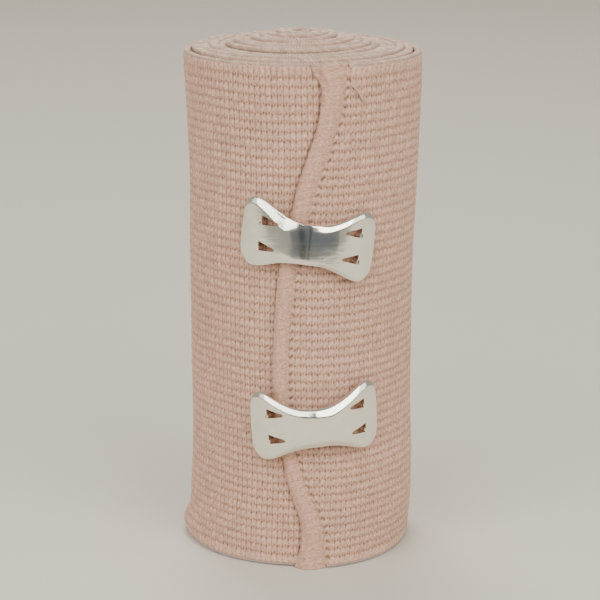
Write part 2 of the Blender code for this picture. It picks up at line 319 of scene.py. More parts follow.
# The two clips. Their height, their place beside the front, how far they bow off the hem and how far their
# middle sags below their ends are shares of the band's width.
Clip = namedtuple("Clip", "name height beside_front bow sag tilt_degrees roll_widths roll_slopes")
CLIPS = (
    Clip(name="clip_upper", height=0.666, beside_front=0.016, bow=-0.001, sag=0.0055, tilt_degrees=-8.5,
         roll_widths=(0.0008, 0.0018, 0.0027, 0.0013, 0.0010, 0.0012, 0.0008),
         roll_slopes=(0.46, 0.34, 0.30, 0.12, 0.10, 0.44, 0.50)),
    Clip(name="clip_lower", height=0.307, beside_front=0.030, bow=0.003, sag=0.0075, tilt_degrees=5.3,
         roll_widths=(0.0008, 0.0011, 0.0012, 0.0012, 0.0014, 0.0017, 0.0008),
         roll_slopes=(0.50, 0.50, 0.50, 0.50, 0.50, 0.50, 0.50)),
)

# Colours of the cloths, for pits, for the body and for the backs of the stitches. The pit colour is painted
# shade in the pits and grooves, and the back colour is painted light on the backs of the stitches and loops.
KNIT_COLORS = ((0.13, 0.076, 0.061, 1.0), (0.42, 0.245, 0.173, 1.0), (0.685, 0.437, 0.322, 1.0))
EDGE_COLORS = ((0.30, 0.20, 0.155, 1.0), (0.55, 0.38, 0.29, 1.0), (0.90, 0.68, 0.55, 1.0))
THREAD_COLORS = ((0.18, 0.105, 0.085, 1.0), (0.48, 0.283, 0.20, 1.0), (0.695, 0.437, 0.322, 1.0))
# The foot's paler, greyer colours are painted light on its loops, which lie in shade at the foot of the roll
FOOT_PAINTED_LIGHT_COLORS = ((0.38, 0.29, 0.26, 1.0), (0.56, 0.45, 0.41, 1.0), (0.74, 0.61, 0.56, 1.0))
STRAY_COLORS = ((0.56, 0.41, 0.335, 1.0),) * 3

# Camera, fitted to the rims of the roll
CAMERA_DISTANCE = 0.43013
CAMERA_HEIGHT = 0.15919
CAMERA_PITCH_DEGREES = 14.386
CAMERA_LENS = 131.84
CAMERA_ROLL_DEGREES = 0.20
CAMERA_ASIDE = -0.0003

# The pale floor, which ends a little in front of the roll, and the distance of the dark cards and strips
FLOOR_SIZE = (5.0, 2.6)
FLOOR_FRONT = -0.20
FLOOR_DROP = 0.0001
CARDS_FRONT = -0.49
STRIPS_FRONT = -0.485


def through(places, values, at):
    """Smooth curve through a few values, read at many places."""
    places = np.asarray(places, float)
    values = np.asarray(values, float)
    slopes = np.gradient(values, places)
    at = np.clip(at, places[0], places[-1])
    index = np.clip(np.searchsorted(places, at, side="right") - 1, 0, len(places) - 2)
    span = places[index + 1] - places[index]
    t = (at - places[index]) / span
    start = values[index] * (2 * t ** 3 - 3 * t ** 2 + 1) + slopes[index] * span * (t ** 3 - 2 * t ** 2 + t)
    end = values[index + 1] * (3 * t ** 2 - 2 * t ** 3) + slopes[index + 1] * span * (t ** 3 - t ** 2)
    return start + end


def eased(low, high, at):
    """0 below low, 1 above high, and a soft step between."""
    t = np.clip((at - low) / (high - low), 0.0, 1.0)
    return t * t * (3 - 2 * t)


def top_radius(angle):
    """Radius of the band's inner face at the top rim."""
    return ROLL_RADIUS - CLOTH_THICKNESS - TURN_PITCH * angle / math.tau


def inner_face(angle, height):
    """Radius of the band's inner face."""
    return top_radius(angle) * through(SHAPE_HEIGHTS, SHAPE_RADII, height / BAND_WIDTH)


def rise(angle):
    """How far the band has slipped upwards, with the unevenness of a roll wound by hand."""
    turns = angle / math.tau
    slip = BAND_WIDTH * through(SLIP_TURNS, SLIP_RISES, turns)
    size, waves, start = SLIP_WAVE
    return slip + size * eased(*SLIP_WAVE_BEGINS, turns) * np.sin(angle * waves + start)


def beside(share, radius):
    """Angle of a place that lies some share of the band's width round to the right of the front."""
    return share * BAND_WIDTH / radius


def hem_left(height):
    return beside(through(HEM_HEIGHTS, HEM_LEFT, height / BAND_WIDTH), PANEL_RADIUS)


def hem_right(height):
    return beside(through(HEM_HEIGHTS, HEM_RIGHT, height / BAND_WIDTH), PANEL_RADIUS)


START_ALONG = min(HEM_RIGHT) * BAND_WIDTH - UNDER_HEM
OUTSIDE_STITCHES = len(PANELS) * PANEL_STITCHES
OUTSIDE_ANGLE = (START_ALONG + OUTSIDE_STITCHES * STITCH) / PANEL_RADIUS
AXIS = Vector((
    roll_high.x - top_radius(math.pi / 2) - CLOTH_THICKNESS,
    roll_high.y - top_radius(math.pi) - CLOTH_THICKNESS,
    0.0,
))


def on_roll(angle, radius, height):
    """Points round the roll's axis, which isn't quite straight, as rows of three coordinates."""
    sway = through(SWAY_HEIGHTS, SWAYS, height / BAND_WIDTH)
    x = AXIS.x + sway + radius * np.sin(angle)
    y = AXIS.y - radius * np.cos(angle)
    return np.stack([x, y, height], axis=-1)


def stitch_place(number):
    """Distance along the band from the front of the roll to a stitch."""
    growth = STITCH_GROWTH * (number / OUTSIDE_STITCHES - 1)
    return START_ALONG + STITCH * number * (1 + growth)


def stitch_at(along):
    """The stitch at a distance along the band from the front of the roll."""
    numbers = np.arange(OUTSIDE_STITCHES + 1)
    return np.interp(along, stitch_place(numbers), numbers)


def row_height(ridge, stitch):
    """
    Height of a place on the knit, given in ridges up from the lower selvedge and in stitches along the band.

    The selvedges are the rows below 0 and above the last ridge. Ridges are a little closer together near the
    foot, sway up and down along the band, zigzag from stitch to stitch, and shiver at random.
    """
    level = np.clip(ridge, 0, RIDGES)
    height = SELVEDGE + RIDGE * (level - ROW_LOWERING * np.sin(np.pi * level / RIDGES))
    height = height + (SELVEDGE - EDGE_ROOM) * (np.minimum(ridge, 0) + np.maximum(ridge - RIDGES, 0))
    along = stitch_place(stitch)
    sway = sum(size * np.sin(along / length + start) for size, length, start in ROW_WAVES)
    free = np.clip(np.minimum(ridge + 1, RIDGES + 1 - ridge), 0, 1)
    random = np.random.default_rng(ROW_SEED)
    shivers = random.uniform(-ROW_SHIVER, ROW_SHIVER, (RIDGES + 3, 2 * RANDOM_STITCHES))
    shiver = shivers[np.round(ridge).astype(int) + 1, half_stitch(stitch)]
    return height - free * (sway + RIDGE * (ROW_ZIGZAG * np.cos(math.tau * stitch) + shiver))


def half_stitch(stitch):
    """The number of the nearest half stitch, as a place in a table of random numbers."""
    return np.round(2 * stitch).astype(int) % (2 * RANDOM_STITCHES)


def knit_relief(ridge, stitch, slant):
    """
    The knit's surface from 0, the pits between stitches, to 1, the backs of the stitches.

    Ridges run round the roll. Each is a row of upright stitches that lean over by the slant. In the grooves
    between ridges lies a deep pit at every line between two stitches and a less deep one half way.
    """
    number = np.clip(np.floor(ridge), -1, RIDGES).astype(int)
    in_ridge = ridge - number
    inside = (number >= 0) & (number < RIDGES)
    to_groove = np.where(number < 0, 1 - in_ridge, in_ridge)
    arch = np.sin(np.pi * np.clip(in_ridge, 0, 1))
    crest = np.where(inside, arch, np.clip(to_groove / SELVEDGE_GROOVE, 0, 1))
    loss = HALF_WAY_PIT_LOSS / 2 * (1 - np.cos(math.tau * stitch))
    pit = (0.5 + 0.5 * np.cos(2 * math.tau * stitch)) ** PIT_POWER - loss
    leaning = stitch - slant * (in_ridge - 0.5)
    index = np.floor(leaning).astype(int)
    line_depth = np.where(inside, LINE_DEPTH, np.where(number < 0, LINE_DEPTH_AT_FOOT, LINE_DEPTH_AT_TOP))
    line = (1 - np.abs(np.sin(np.pi * (leaning - index))) ** LINE_POWER) * line_depth
    random = np.random.default_rng(RELIEF_SEED)
    all_tops = random.uniform(*STITCH_TOPS, (RIDGES + 2, RANDOM_STITCHES))
    tops = all_tops[number + 1, index % RANDOM_STITCHES]
    all_factors = random.uniform(*PIT_FACTORS, (RIDGES + 2, 2 * RANDOM_STITCHES))
    factors = all_factors[np.round(ridge).astype(int).clip(0, RIDGES), half_stitch(stitch)]
    groove = (1 - crest ** GROOVE_POWER) * GROOVE_DEPTH
    drop = (1 - crest) ** PIT_WALL_POWER * PIT_DEPTH * pit * factors + groove
    return np.clip(1 - drop - line * crest ** LINE_CREST_POWER, 0, 1) * tops


def edge_beads(along, round_the_edge):
    """The small slanting loops that bind an edge of the band, from 0 between loops to 1 on them. As the
    loops' colour, this is painted shade between them and painted light on them.
    """
    loop = along / LOOP_WIDTH + LOOP_SLANT * np.sin(round_the_edge)
    random = np.random.default_rng(LOOP_SEED)
    sizes = random.uniform(*LOOP_SIZES, RANDOM_LOOPS)
    return np.sin(np.pi * (loop - np.floor(loop))) ** 2 * sizes[np.floor(loop).astype(int) % RANDOM_LOOPS]


def strip(name, columns, rows, place, material):
    """
    A closed strip of cloth: a net of cells bent to shape, its first and last rows joined and its ends filled.

    The place function takes the columns and rows of all corners, and gives their points, the cloth's own
    coordinates and the relief, which are kept as a UV map and an attribute. The material colours the cloth by
    that attribute: painted shade where it is low, painted light where it is high.
    """
    net = bmesh.new()
    bmesh.ops.create_grid(net, x_segments=columns, y_segments=rows, size=0.5)
    bmesh.ops.translate(net, vec=(0.5, 0.5, 0.0), verts=net.verts[:])
    bmesh.ops.scale(net, vec=(columns, rows, 1.0), verts=net.verts[:])
    mesh = bpy.data.meshes.new(name)
    net.to_mesh(mesh)
    net.free()
    flat = np.empty(len(mesh.vertices) * 3)
    mesh.vertices.foreach_get("co", flat)
    column, row = flat.reshape(-1, 3)[:, 0], flat.reshape(-1, 3)[:, 1]
    points, cloth, relief = place(np.round(column), np.round(row))
    mesh.vertices.foreach_set("co", points.ravel())
    corners = np.empty(len(mesh.loops), int)
    mesh.loops.foreach_get("vertex_index", corners)
    mesh.uv_layers.new(name="cloth").data.foreach_set("uv", cloth[corners].ravel())
    mesh.attributes.new("relief", "FLOAT", "POINT").data.foreach_set("value", relief)
    return closed(name, mesh, material)


def closed(name, mesh, material):
    """Joins the seam of a strip, fills its ends and makes it a piece."""
    shape = bmesh.new()
    shape.from_mesh(mesh)
    bpy.data.meshes.remove(mesh)
    bmesh.ops.remove_doubles(shape, verts=shape.verts[:], dist=1e-7)
    ends = [edge for edge in shape.edges if edge.is_boundary]
    bmesh.ops.holes_fill(shape, edges=ends, sides=0)
    bmesh.ops.recalc_face_normals(shape, faces=shape.faces[:])
    return piece(name, shape, material)


def piece(name, shape, material):
    """Makes a bmesh a smooth shown object that rides on the root body."""
    mesh = bpy.data.meshes.new(name)
    shape.to_mesh(mesh)
    shape.free()
    mesh.shade_smooth()
    mesh.materials.append(material)
    thing = bpy.data.objects.new(name, mesh)
    bpy.context.scene.collection.objects.link(thing)
    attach(thing, "root")
    return thing


def uneven(angle, height):
    """Shallow hollows and swellings of a soft roll, and the bulges at its foot."""
    swell = 0.0
    for wave in ROLL_WAVES:
        swell = swell + wave.size * np.sin(wave.round_roll * angle + height * wave.up_roll + wave.start)
    for bulge in FOOT_BULGES:
        round_roll = (angle - bulge.angle) / bulge.angle_reach
        up_roll = (height - bulge.height) / bulge.height_reach
        swell = swell + bulge.size * np.exp(-round_roll ** 2 - up_roll ** 2)
    return swell


def loose_rim(angle, height):
    """How far the outermost turn stands off the next one near the top, on the right and on the left."""
    off = sum(gap.size * np.exp(-((angle - gap.angle) / gap.angle_reach) ** 2) for gap in RIM_GAPS)
    return off * eased(RIM_GAPS_FROM, 1.0, height / BAND_WIDTH)


def seam_pits(ridge, along, height, angle):
    """How deep the knit is drawn in beside the hem: small pits on its right, and a shallow crease on its left
    that is also darkened as the painted shadow of the hem's edge.
    """
    groove = np.cos(np.pi * ridge) ** SEAM_GROOVE_POWER
    right = along - hem_right(height) * PANEL_RADIUS
    left = (angle - math.tau - hem_left(height)) * PANEL_RADIUS
    free_end = angle < 1
    one_turn_in = angle > 5
    share = height / BAND_WIDTH
    ends = eased(*SEAM_LINE_BEGINS, share) * (1 - eased(*SEAM_LINE_ENDS, share))
    pits = SEAM_PIT_DEPTH * groove * np.exp(-((right - SEAM_PIT_PLACE) / SEAM_PIT_REACH) ** 2) * free_end
    # The crease is darkened as well as sunk: a painted shadow under the hem's edge
    crease_and_shadow = SEAM_LINE_DEPTH + SEAM_LINE_GROOVES * groove
    crease_and_shadow = crease_and_shadow * np.exp(-(np.minimum(left, 0) / SEAM_LINE_REACH) ** 2) * one_turn_in * ends
    return pits, crease_and_shadow


def make_panel(number, material):
    """One third of the band's outside, with every ridge and stitch in relief."""
    columns = PANEL_STITCHES * COLUMNS_A_STITCH
    outside = np.linspace(-1, RIDGES + 1, (RIDGES + 2) * ROWS_A_RIDGE + 1)
    inside = outside[np.linspace(len(outside) - 1, 0, ROWS_INSIDE).astype(int)]
    ridges = np.concatenate([outside, inside, outside[:1]])
    depths = np.concatenate([np.ones(len(outside)), np.zeros(len(inside)), [1.0]])
    first = number * columns
    pinch = 1 if number == 0 else 0

    def place(column, row):
        ridge = ridges[row.astype(int)]
        depth = np.where(column < pinch, 0.0, depths[row.astype(int)])
        stitch = (first + np.maximum(column - pinch, 0)) / COLUMNS_A_STITCH
        height = row_height(ridge, stitch)
        hem_edge = hem_right(height) * PANEL_RADIUS
        along = np.maximum(stitch_place(stitch), hem_edge - UNDER_HEM)
        stitch = stitch_at(along)
        angle = along / PANEL_RADIUS
        slant = STITCH_SLANT * (1 - eased(*SLANT_FADES, angle))
        relief = knit_relief(ridge, stitch, slant)
        pits, crease_and_shadow = seam_pits(ridge, along, height, angle)
        # Lowering the relief also darkens the colour: painted shade in the pits and painted shadow along the
        # crease
        relief = relief * (1 - pits) * (1 - crease_and_shadow)
        tucked = TUCK * (1 - eased(*TUCK_REACH, along - hem_edge))
        thickness = CLOTH_THICKNESS * (1 - tucked)
        swell = RELIEF * (relief - FACE_LEVEL) + uneven(angle, height)
        radius = inner_face(angle, height) + depth * (thickness + swell) + loose_rim(angle, height)
        cloth = np.stack([stitch, ridge], axis=-1)
        return on_roll(angle, radius, height + rise(angle)), cloth, relief

    return strip(PANELS[number], columns + pinch, len(ridges) - 1, place, material)


def make_inner_turns(material):
    """All the turns inside the outermost one, down to the core."""
    first = OUTSIDE_ANGLE
    last = math.tau * TURNS
    columns = int((last - first) / math.tau * INNER_COLUMNS_A_TURN)
    foot = np.linspace(EDGE_ROOM, INNER_FOOT_END * BAND_WIDTH, INNER_FOOT_ROWS)
    middle = np.linspace(*INNER_ROWS_REACH, INNER_ROWS) * BAND_WIDTH
    steps = np.concatenate([foot, middle, [BAND_WIDTH - EDGE_ROOM]])
    heights = np.concatenate([steps, steps[::-1], steps[:1]])
    depths = np.concatenate([np.ones(len(steps)), np.zeros(len(steps)), [1.0]])

    def place(column, row):
        height = heights[row.astype(int)]
        depth = depths[row.astype(int)]
        angle = first + (last - first) * column / columns
        radius = inner_face(angle, height) + depth * CLOTH_THICKNESS
        cloth = np.stack([angle * radius / STITCH, height / RIDGE], axis=-1)
        return on_roll(angle, radius, height + rise(angle)), cloth, np.full(len(column), INNER_TURNS_LEVEL)

    return strip("inner_turns", columns, len(heights) - 1, place, material)


def edge_steps(middle, inner_spacing):
    """Distances along an edge of the band, and the angles there. Steps may be wider on the inner turns."""
    last = math.tau * TURNS
    along = [0.0]
    angles = [float(hem_right(np.array(middle)))]
    while angles[-1] < last:
        step = LOOP_SPACING if angles[-1] < LOOPS_FINE_TO else inner_spacing
        along.append(along[-1] + step)
        angles.append(angles[-1] + step / (top_radius(angles[-1]) + CLOTH_THICKNESS / 2))
    return np.array(along), np.minimum(angles, last)


def make_edge(name, middle, inner_spacing, material):
    """The bound edge along the top or the foot of the whole band: small loops, turn beside turn."""
    distances, angles = edge_steps(middle, inner_spacing)
    random = np.random.default_rng(FUZZ_SEED)
    fuzz = random.uniform(-LOOP_FUZZ, LOOP_FUZZ, (len(angles), LOOP_CORNERS + 1))

    def place(column, row):
        column = column.astype(int)
        row = np.where(row == LOOP_CORNERS, 0, row)
        turn = row * math.tau / LOOP_CORNERS - math.pi / 2
        along = distances[column]
        angle = angles[column]
        beads = edge_beads(along, turn)
        size = LOOP_LOW + LOOP_RAISED * beads
        wide = np.where(angle < LOOPS_OUTSIDE_TO, CLOTH_THICKNESS / 2 + LOOP_OVERLAP_OUTSIDE,
                        TURN_PITCH / 2 + LOOP_OVERLAP)
        side = np.sign(np.cos(turn)) * np.abs(np.cos(turn)) ** LOOP_SIDE_POWER
        top = np.sign(np.sin(turn)) * np.abs(np.sin(turn)) ** LOOP_TOP_POWER
        across = wide * (0.5 + 0.5 * size) * side
        up = LOOP_HALF_HEIGHT * size * top + fuzz[column, row.astype(int)]
        height = np.full(len(column), middle)
        radius = inner_face(angle, height) + CLOTH_THICKNESS / 2 + across + loose_rim(angle, height)
        radius = radius + np.where(angle < OUTSIDE_ANGLE, uneven(angle, height), 0.0)
        cloth = np.stack([along / STITCH, turn], axis=-1)
        # The beads also pick the loops' colour: painted shade between loops, painted light on them
        return on_roll(angle, radius, middle + up + rise(angle)), cloth, beads

    return strip(name, len(angles) - 1, LOOP_CORNERS, place, material)


def hem_lumps(height, across):
    """Small lumps of the hem, from -1 to 1."""
    lumps = 1.0
    for up_wave, across_wave in zip(HEM_LUMP_WAVES_UP, HEM_LUMP_WAVES_ACROSS):
        lumps = lumps * np.sin(height * up_wave + across_wave * across)
    return lumps


def hem_thread(height, across, sideways):
    """A place on the hem in threads up from its foot. The threads wave, and slope more near the foot."""
    at_foot = 1 - eased(*HEM_SLOPE_FADES, height / BAND_WIDTH)
    slope = HEM_THREAD_SLOPE + HEM_THREAD_SLOPE_AT_FOOT * at_foot
    wave = HEM_THREAD_WAVE * np.sin(across * HEM_THREAD_WAVE_ACROSS + height * HEM_THREAD_WAVE_UP)
    return (height - slope * sideways + wave) / HEM_THREAD


def make_hem(material):
    """The overlocked strip on the free end: threads laid across it, a soft free edge, and a flush seam."""
    rows = int(BAND_WIDTH / HEM_THREAD * HEM_ROWS_A_THREAD)
    random = np.random.default_rng(HEM_SEED)
    lifts = random.uniform(*HEM_THREAD_LIFTS, RANDOM_THREADS)

    def place(column, row):
        turn = np.where(column == HEM_CORNERS, 0, column) * math.tau / HEM_CORNERS + math.pi
        height = row / rows * BAND_WIDTH
        share = height / BAND_WIDTH
        across = 0.5 + 0.5 * np.sign(np.cos(turn)) * np.abs(np.cos(turn)) ** HEM_SIDE_POWER
        depth = 0.5 - 0.5 * np.sign(np.sin(turn)) * np.abs(np.sin(turn)) ** HEM_FACE_POWER
        left, right = hem_left(height), hem_right(height)
        angle = left + (right - left) * across
        ends = eased(*HEM_BEGINS, share) * (1 - eased(*HEM_ENDS, share))
        strand = hem_thread(height, across, (angle - left) * PANEL_RADIUS)
        number = np.floor(strand)
        ribs = np.abs(np.sin(np.pi * (strand - number))) ** HEM_THREAD_POWER
        ribs = ribs * lifts[number.astype(int) % RANDOM_THREADS]
        lumps = hem_lumps(height, across)
        seam = eased(*HEM_SEAM, across)
        free = (1 - eased(*HEM_FREE, across)) * (HEM_FREE_AT_ENDS - (HEM_FREE_AT_ENDS - 1) * ends)
        thickness = HEM_THICKNESS - HEM_SEAM_THINNER * seam - HEM_FREE_THINNER * free
        thickness = thickness + HEM_THREAD_RAISED * ribs + HEM_LUMP * lumps
        radius = inner_face(angle, height) + depth * thickness
        radius = radius + HEM_SEAM_LIFTED * seam * (1 - depth) - HEM_FREE_LOWERED * free
        # The hem's tone: painted light on raised threads, painted light and shade on lumps, painted shade
        # along its free edge
        groove = np.cos(np.pi * (height - SELVEDGE) / RIDGE) ** SEAM_GROOVE_POWER
        edge_shade = (HEM_EDGE_SHADE + HEM_EDGE_GROOVE_SHADE * groove) * (1 - eased(*HEM_EDGE, across)) * ends
        shade = HEM_SHADE + HEM_THREAD_HIGHLIGHT * ribs + HEM_LUMP_LIGHT_AND_SHADE * lumps - edge_shade
        cloth = np.stack([across * HEM_PATTERNS, height / HEM_THREAD], axis=-1)
        return on_roll(angle, radius, height), cloth, shade

    return strip("overlocked_hem", HEM_CORNERS, rows, place, material)


def make_thread(name, runs, material):
    """Thin threads, each through the points of a run, as one mesh."""
    curve = bpy.data.curves.new(name, "CURVE")
    curve.dimensions = "3D"
    curve.bevel_depth = THREAD_RADIUS
    curve.bevel_resolution = 2
    curve.use_fill_caps = True
    curve.resolution_u = 6
    for run in runs:
        spline = curve.splines.new("BEZIER")
        spline.bezier_points.add(len(run) - 1)
        for point, where in zip(spline.bezier_points, run):
            point.co = where
            point.handle_left_type = "AUTO"
            point.handle_right_type = "AUTO"
    holder = bpy.data.objects.new(name + "_curve", curve)
    bpy.context.scene.collection.objects.link(holder)
    shape = worked_out(holder)
    bpy.data.objects.remove(holder)
    bmesh.ops.remove_doubles(shape, verts=shape.verts[:], dist=1e-6)
    return piece(name, shape, material)


def cloth_point(place, height, lift):
    """A point on the outermost turn at a place beside the front, some way off the cloth."""
    angle = place / PANEL_RADIUS
    radius = float(inner_face(angle, np.array(height))) + CLOTH_THICKNESS + lift
    return Vector(on_roll(angle, radius, height))


def make_stray_thread(material):
    """The loose ends of the overlock thread, thin wisps on the cloth at the top of the hem."""
    runs = []
    for wisp in STRAY_THREADS:
        for number in range(STRANDS):
            spread = STRAND_SPACING * (number - (STRANDS - 1) / 2)
            run = []
            for index, (place, height, lift) in enumerate(wisp):
                sway = STRAND_SWAY * math.sin(STRAND_SWAY_TURN * index + STRAND_TURN * number)
                off = lift + THREAD_LIFT + abs(sway)
                run.append(cloth_point(place + spread + sway, height + STRAND_STAGGER * spread, off))
            runs.append(run)
    return make_thread("stray_thread", runs, material)


def clip_half_height(along):
    """Half the height of a clip: a waist, a wide end and a round corner."""
    shoulder = CLIP_LENGTH / 2 - CLIP_CORNER
    distance = np.minimum(np.abs(along), CLIP_LENGTH / 2)
    arc = np.sqrt(np.maximum(CLIP_CORNER ** 2 - (distance - shoulder) ** 2, 0.0))
    share = np.minimum(distance / shoulder, 1.0) ** CLIP_WAIST_POWER
    widening = 3 * share ** 2 - 2 * share ** 3
    waist = CLIP_WAIST / 2 + widening * (CLIP_END_HEIGHT - CLIP_WAIST) / 2
    return np.where(distance > shoulder, CLIP_END_HEIGHT / 2 - CLIP_CORNER + arc, waist)


def clip_arc(clip):
    """Centre, radius and middle angle, in plan, of a clip's arc, which rests on both ends and on the hem."""
    middle = clip.height * BAND_WIDTH
    heights = middle + np.array([-0.5, 0.0, 0.5]) * CLIP_END_HEIGHT
    face = float(inner_face(0.0, np.array(middle))) + CLOTH_THICKNESS
    ahead = clip.beside_front * BAND_WIDTH / face
    reach = (CLIP_LENGTH / 2 + CLEARANCE) / face
    edge = float(np.min(hem_left(heights)))
    rests = (
        (ahead - reach, np.max(inner_face(ahead - reach + math.tau, heights)) + CLOTH_THICKNESS),
        (edge, np.max(inner_face(edge, heights)) + HEM_THICKNESS + clip.bow * BAND_WIDTH),
        (ahead + reach, np.max(inner_face(ahead + reach, heights)) + CLOTH_THICKNESS),
    )
    first, second, third = [Vector(on_roll(angle, radius + CLEARANCE, 0.0)) for angle, radius in rests]
    one, two = second - first, third - first
    area = 2 * (one.x * two.y - one.y * two.x)
    centre = first + Vector((
        (two.y * one.length_squared - one.y * two.length_squared) / area,
        (one.x * two.length_squared - two.x * one.length_squared) / area,
        0.0,
    ))
    radius = (second - centre).length
    towards = Vector((math.sin(ahead), -math.cos(ahead), 0.0))
    offset = centre - AXIS
    nearer = towards.dot(offset)
    reach_out = nearer + math.sqrt(nearer ** 2 - offset.length_squared + radius ** 2)
    middle_point = towards * reach_out - offset
    return centre, radius, math.atan2(middle_point.x, -middle_point.y)


def clip_bend(clip):
    """A function that takes points of the flat clip to their places on the roll."""
    centre, radius, middle_angle = clip_arc(clip)
    tilt = math.radians(clip.tilt_degrees)

    def bent(points):
        along, up, depth = points[:, 0], points[:, 1], points[:, 2]
        half = clip_half_height(along)
        width = np.interp(along, ROLL_PLACES, clip.roll_widths) * np.where(up > 0, 1.0, LOWER_ROLL_SHARE)
        slope = np.interp(along, ROLL_PLACES, clip.roll_slopes)
        raised = np.interp(np.abs(along), RAISED_PLACES, RAISED_SHARES) * CLIP_RAISED
        past_fold = np.clip(1 - (half - np.abs(up)) / width, 0.0, 1.0)
        fold = np.sqrt(past_fold ** 2 + FOLD_SOFTNESS) - FOLD_START
        rolled = slope * width * (fold + RIM_TURN * past_fold ** RIM_TURN_POWER)
        crown = raised + CLIP_CROWN * (1 - (up / half) ** 2)
        out = radius + crown - rolled + depth
        angle = middle_angle + (along * math.cos(tilt) - up * math.sin(tilt)) / radius
        sag = clip.sag * BAND_WIDTH * (1 - (2 * along / CLIP_LENGTH) ** 2)
        height = clip.height * BAND_WIDTH + along * math.sin(tilt) + up * math.cos(tilt) - sag
        return np.stack([centre.x + out * np.sin(angle), centre.y - out * np.cos(angle), height], axis=-1)

    return bent


def thicken(shape, height):
    """Makes a flat shape a solid of some height."""
    raised = bmesh.ops.extrude_face_region(shape, geom=shape.faces[:], use_keep_orig=True)
    verts = [item for item in raised["geom"] if isinstance(item, bmesh.types.BMVert)]
    bmesh.ops.translate(shape, vec=(0.0, 0.0, height), verts=verts)
    bmesh.ops.recalc_face_normals(shape, faces=shape.faces[:])


def worked_out(helper):
    """The shape of a helper object with its curve or its modifiers worked out."""
    graph = bpy.context.evaluated_depsgraph_get()
    shape = bmesh.new()
    shape.from_mesh(bpy.data.meshes.new_from_object(helper.evaluated_get(graph)))
    return shape


def hole_prism(side, row):
    """A prism through the flat clip for a hole with a wide base outermost and a blunt point inwards."""
    base = HOLE_OFFSET + side * HOLE_BASE_DISTANCE / 2
    up = row * HOLE_SPACING / 2 + HOLE_RAISE
    point = base - side * HOLE_LENGTH
    corners = (
        Vector((base, up - HOLE_WIDTH / 2, 0.0)),
        Vector((base, up + HOLE_WIDTH / 2, 0.0)),
        Vector((point + side * HOLE_POINT, up + HOLE_POINT, 0.0)),
        Vector((point, up, 0.0)),
        Vector((point + side * HOLE_POINT, up - HOLE_POINT, 0.0)),
    )
    prism = bmesh.new()
    bmesh.ops.create_circle(prism, cap_ends=True, segments=len(corners), radius=1.0)
    for vert, corner in zip(prism.verts, corners):
        vert.co = corner - Vector((0.0, 0.0, 2 * CLIP_SHEET))
    thicken(prism, 5 * CLIP_SHEET)
    return prism


def make_barb(side, row):
    """A barb: the tongue of a hole, bent down in a small curve at the hole's wide base."""
    barb = bmesh.new()
    bmesh.ops.create_grid(barb, x_segments=8, y_segments=3, size=0.5)
    thicken(barb, 1.0)
    base = HOLE_BASE_DISTANCE / 2 + side * HOLE_OFFSET
    bend = CLIP_SHEET + BARB_BEND_INSIDE
    for vert in barb.verts:
        run = (vert.co.x + 0.5) * BARB_LENGTH
        width = BARB_WIDTH * (1 - BARB_TAPER * run / BARB_LENGTH)
        turn = min(run / bend, math.pi / 2)
        drop = max(run - bend * math.pi / 2, 0.0)
        reach = bend - CLIP_SHEET * (1 - vert.co.z)
        along = base + BARB_INTO_BASE - reach * math.sin(turn)
        up = row * HOLE_SPACING / 2 + HOLE_RAISE - (HOLE_WIDTH - BARB_WIDTH) / 2 + vert.co.y * width
        vert.co = (side * along, up, BARB_FOLD + reach * math.cos(turn) - bend + CLIP_SHEET - drop)
    return barb


def flat_clip():
    """The flat bow-tie sheet of a clip, with a fine net that is finest at its edges."""
    sheet = bmesh.new()
    bmesh.ops.create_grid(sheet, x_segments=CLIP_COLUMNS, y_segments=CLIP_ROWS, size=1.0)
    for vert in sheet.verts:
        along = CLIP_LENGTH / 2 * math.sin(math.pi / 2 * vert.co.x)
        up = float(clip_half_height(along)) * math.sin(math.pi / 2 * vert.co.y)
        vert.co = (along, up, 0.0)
    thicken(sheet, CLIP_SHEET)
    return sheet


def with_holes(name, sheet, places):
    """The flat sheet with a hole cut at each place."""
    flat = scaffold(name + "_flat", sheet)
    cutters = [scaffold(name + "_hole", hole_prism(side, row)) for side, row in places]
    for cutter in cutters:
        hole = flat.modifiers.new("hole", "BOOLEAN")
        hole.operation = "DIFFERENCE"
        hole.solver = "EXACT"
        hole.object = cutter
    shape = worked_out(flat)
    for helper in cutters + [flat]:
        bpy.data.objects.remove(helper)
    return shape


def make_clip(clip, material):
    """A clip: a flat bow-tie sheet with its holes cut and its barbs added, bent over the hem."""
    places = [(side, row) for side in (-1, 1) for row in (-1, 1)]
    shape = with_holes(clip.name, flat_clip(), places)
    for side, row in places:
        barb = make_barb(side, row)
        holder = bpy.data.meshes.new("barb")
        barb.to_mesh(holder)
        barb.free()
        shape.from_mesh(holder)
        bpy.data.meshes.remove(holder)
    bmesh.ops.triangulate(shape, faces=[face for face in shape.faces if len(face.verts) > 4])
    points = np.array([vert.co for vert in shape.verts])
    for vert, point in zip(shape.verts, clip_bend(clip)(points)):
        vert.co = point
    bmesh.ops.recalc_face_normals(shape, faces=shape.faces[:])
    made = piece(clip.name + "_sheet", shape, material)
    made.data.set_sharp_from_angle(angle=math.radians(CLIP_SHARP_DEGREES))
    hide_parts(clip.name)


def scaffold(name, shape):
    """A helper object that is removed once the piece it shapes is done."""
    mesh = bpy.data.meshes.new(name)
    shape.to_mesh(mesh)
    shape.free()
    helper = bpy.data.objects.new(name, mesh)
    bpy.context.scene.collection.objects.link(helper)
    return helper


def set_inputs(made, values):
    """Sets inputs of a node by their names."""
    for name, value in values.items():
        made.inputs[name].default_value = value


def node(tree, kind, values=None, **settings):
    """Adds a node and sets its plain properties, then its inputs."""
    made = tree.nodes.new(kind)
    for key, value in settings.items():
        setattr(made, key, value)
    set_inputs(made, values or {})
    return made


def new_material(name, values):
    """A material and its shader, whose inputs are set by their names."""
    material = bpy.data.materials.new(name)
    material.use_nodes = True
    shader = material.node_tree.nodes["Principled BSDF"]
    set_inputs(shader, values)
    return material, shader


